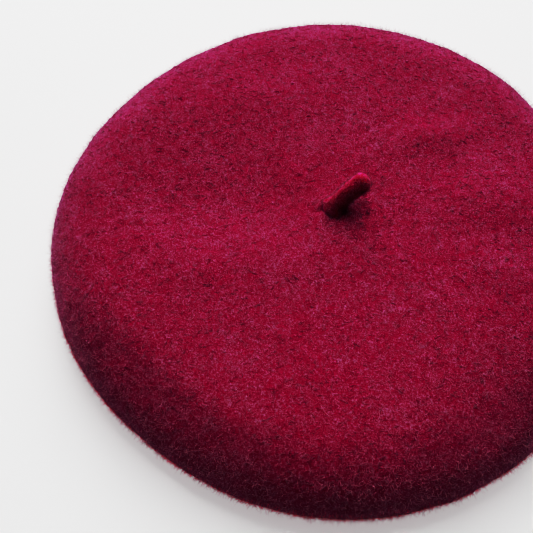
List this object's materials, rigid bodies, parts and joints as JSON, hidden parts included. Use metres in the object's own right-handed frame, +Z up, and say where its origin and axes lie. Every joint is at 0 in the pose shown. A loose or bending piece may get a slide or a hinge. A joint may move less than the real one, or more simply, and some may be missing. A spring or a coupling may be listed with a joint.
{
  "type": "beret",
  "caption": "Round wool felt beret lying crown up, with a soft stalk on the crown and an elasticated leather sweatband inside.",
  "frame": {"origin": "on the surface that the hat lies on, below the middle of the crown", "axes": "+Z up out of the crown, +Y towards the back of the hat where the sweatband is joined, +X to the wearer's right"},
  "size_m": [0.28, 0.28, 0.0592],
  "materials": {
    "felt": "fuzzy fulled wool, deep raspberry red",
    "thread": "fine polyester sewing thread, dark red",
    "band_leather": "soft fine-grained leather, dark wine brown",
    "elastic": "braided round elastic, black",
    "ribbon": "narrow grosgrain ribbon, dark red",
    "label_satin": "woven satin, off white, blank"
  },
  "bodies": {
    "hat": {"felt_crown": "felt", "felt_underside": "felt", "stalk_root": "felt", "stalk_stitches": "thread", "sweatband": "band_leather", "elastic_cord": "elastic", "edge_stitches": "thread", "channel_stitches": "thread", "back_stitches": "thread", "bow_knot": "ribbon", "bow_loops": "ribbon", "bow_tails": "ribbon"},
    "stalk": {"stalk": "felt"},
    "care_label": {"care_label": "label_satin"},
    "size_label": {"size_label": "label_satin"}
  },
  "joints": [
    {"name": "stalk_lean", "type": "hinge", "parent": "hat", "child": "stalk", "pos_m": [0, 0, 0.04725], "axis": [-0.3746, 0.9272, 0], "range_deg": [-139, 17], "stiffness_Nm_per_rad": 0.002},
    {"name": "care_label_flip", "type": "hinge", "parent": "hat", "child": "care_label", "pos_m": [-0.04399, 0.08273, 0.0035], "axis": [0.8829, 0.4695, 0], "range_deg": [0, 80]},
    {"name": "size_label_flip", "type": "hinge", "parent": "hat", "child": "size_label", "pos_m": [0.0351, 0.08688, 0.0035], "axis": [0.9272, -0.3746, 0], "range_deg": [0, 80]}
  ]
}
